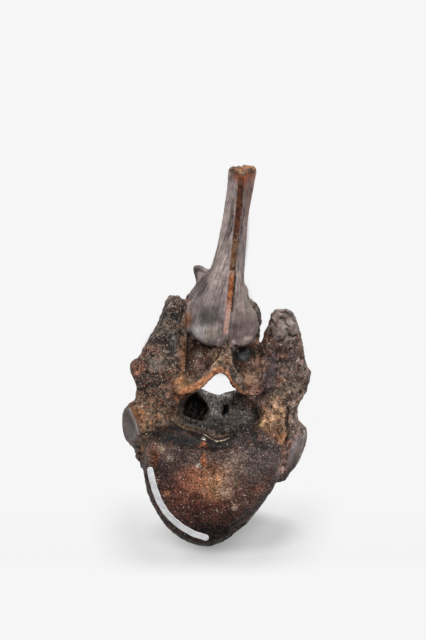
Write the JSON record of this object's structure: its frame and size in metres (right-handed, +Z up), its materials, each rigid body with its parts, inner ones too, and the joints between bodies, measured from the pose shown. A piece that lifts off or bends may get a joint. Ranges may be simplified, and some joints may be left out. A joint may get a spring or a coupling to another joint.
{
  "type": "horse vertebra",
  "caption": "Back vertebra of a horse: a bulging heart-shaped head, knobbly side processes over an open canal, and a tall broken spine; old dark bone lying on its rear end.",
  "frame": {"origin": "on the surface that the bone lies on, under the middle of its outline seen from above", "axes": "+X across the bone, to the right in the picture; +Y towards the broken top of the spine; +Z up, towards the horse's head"},
  "size_m": [0.0768, 0.1498, 0.0497],
  "materials": {
    "bone": "satin"
  },
  "bodies": {
    "root": {"vertebra": "bone"}
  },
  "joints": []
}
